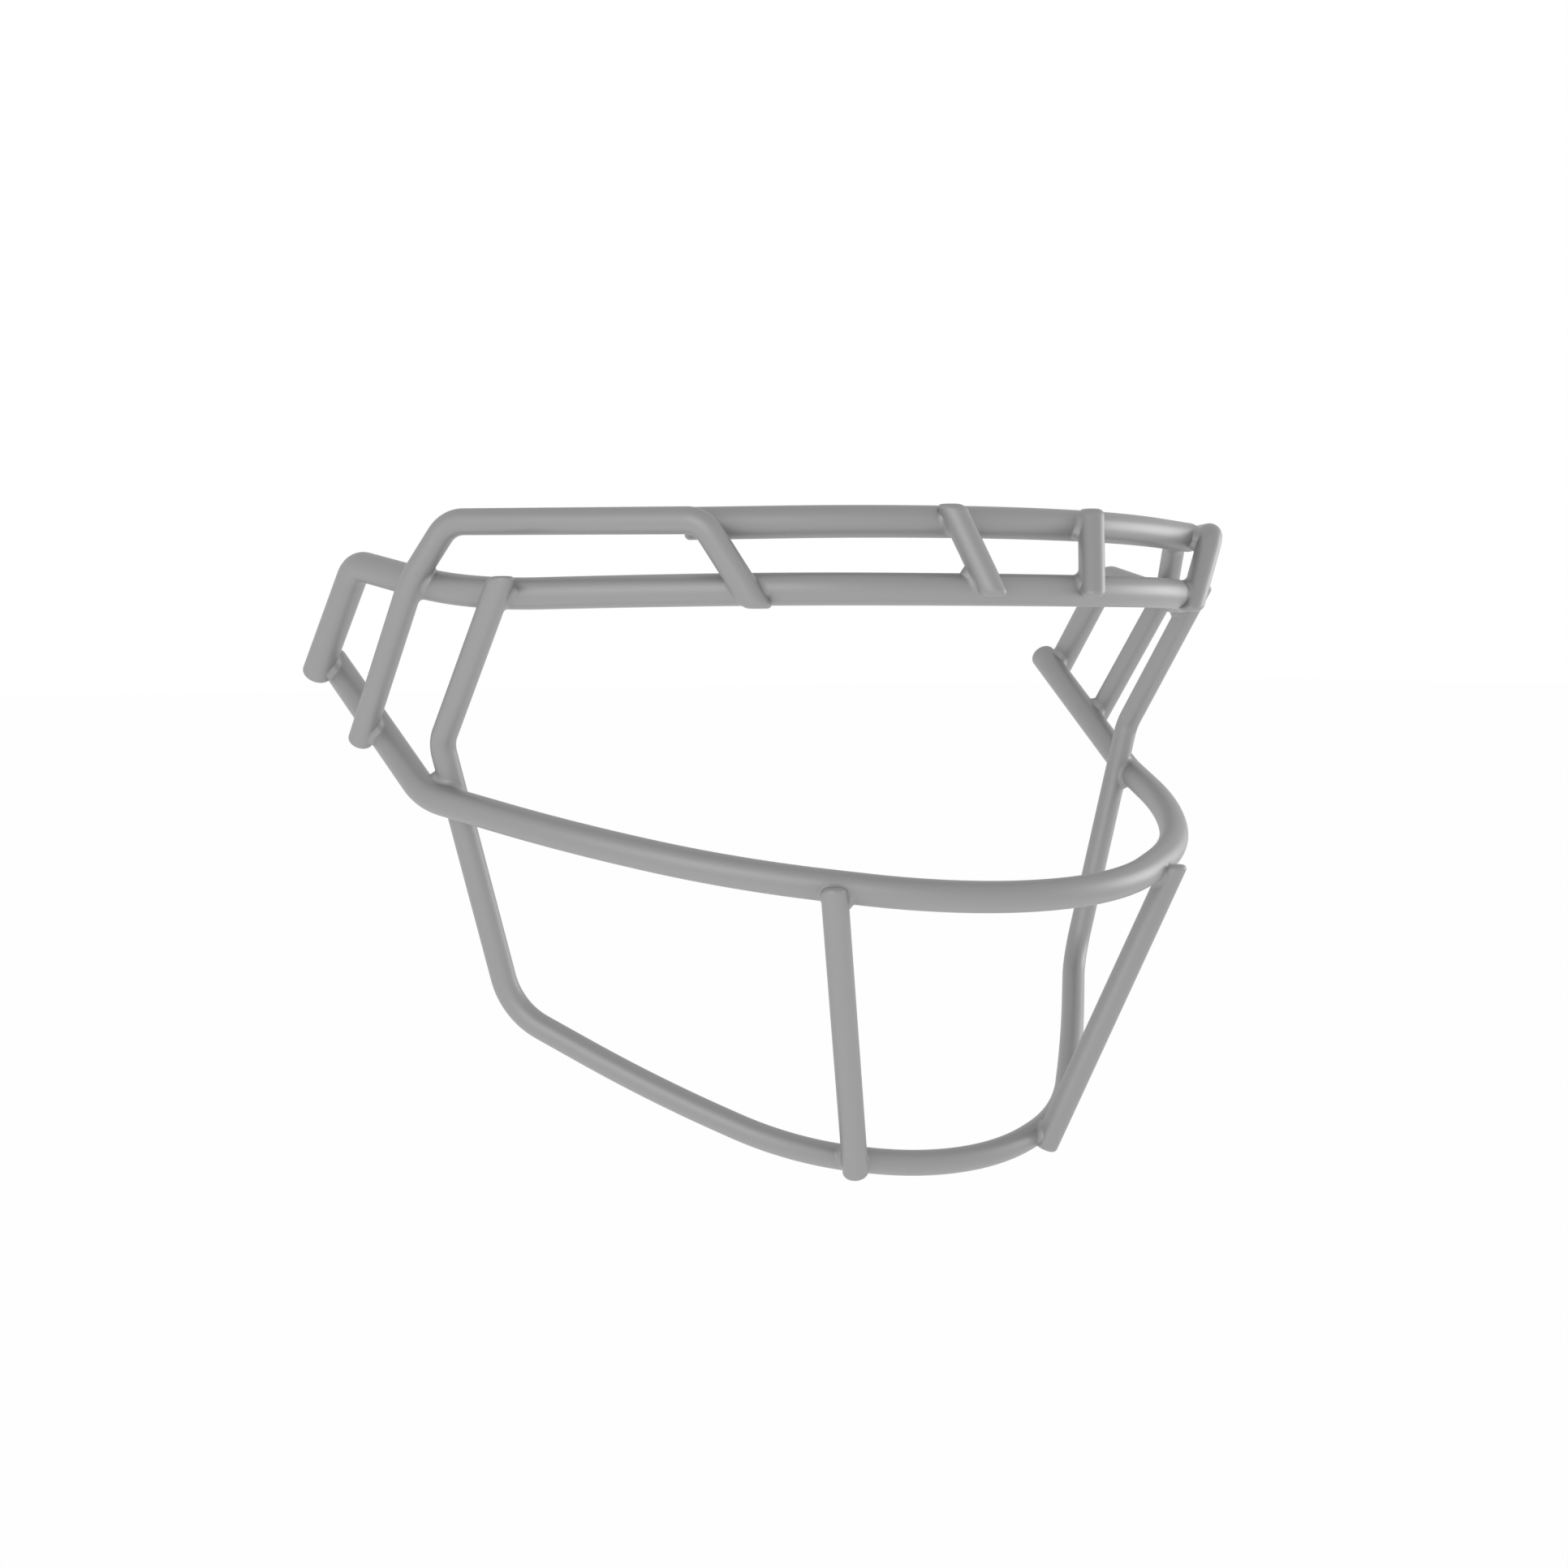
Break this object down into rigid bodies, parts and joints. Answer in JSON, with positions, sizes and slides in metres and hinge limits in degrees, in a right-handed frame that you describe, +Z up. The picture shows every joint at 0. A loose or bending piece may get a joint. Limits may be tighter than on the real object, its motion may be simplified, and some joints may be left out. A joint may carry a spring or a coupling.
{
  "type": "football helmet facemask",
  "caption": "Wire cage for the front of a football helmet: level brow bars, side guards, a jaw bar round the mouth and a chin loop with posts.",
  "frame": {"origin": "middle of the lower brow bar at the forehead, on its centre line", "axes": "+X the wearer's left, -Y forward out of the face, +Z up as worn"},
  "size_m": [0.2368, 0.1442, 0.154],
  "materials": {
    "baked_coat": "smooth mid-grey baked powder coat, satin with a soft clear sheen",
    "steel_rod": "drawn mild steel rod, sealed in the coat"
  },
  "bodies": {
    "root": {"chin_loop_coat": "baked_coat", "chin_loop_wire": "steel_rod", "jaw_coat": "baked_coat", "jaw_wire": "steel_rod", "left_guard_coat": "baked_coat", "left_guard_wire": "steel_rod", "left_post_coat": "baked_coat", "left_post_wire": "steel_rod", "left_strut_coat": "baked_coat", "left_strut_wire": "steel_rod", "left_weld_guard_jaw": "baked_coat", "left_weld_guard_lower": "baked_coat", "left_weld_guard_rear": "baked_coat", "left_weld_guard_upper": "baked_coat", "left_weld_leg_jaw": "baked_coat", "left_weld_loop_brow": "baked_coat", "left_weld_loop_jaw": "baked_coat", "left_weld_post_chin": "baked_coat", "left_weld_post_jaw": "baked_coat", "left_weld_strut_lower": "baked_coat", "left_weld_strut_upper": "baked_coat", "lower_brow_coat": "baked_coat", "lower_brow_wire": "steel_rod", "right_guard_coat": "baked_coat", "right_guard_wire": "steel_rod", "right_post_coat": "baked_coat", "right_post_wire": "steel_rod", "right_strut_coat": "baked_coat", "right_strut_wire": "steel_rod", "right_weld_guard_jaw": "baked_coat", "right_weld_guard_lower": "baked_coat", "right_weld_guard_rear": "baked_coat", "right_weld_guard_upper": "baked_coat", "right_weld_leg_jaw": "baked_coat", "right_weld_loop_brow": "baked_coat", "right_weld_loop_jaw": "baked_coat", "right_weld_post_chin": "baked_coat", "right_weld_post_jaw": "baked_coat", "right_weld_strut_lower": "baked_coat", "right_weld_strut_upper": "baked_coat", "upper_brow_coat": "baked_coat", "upper_brow_wire": "steel_rod"}
  },
  "joints": []
}
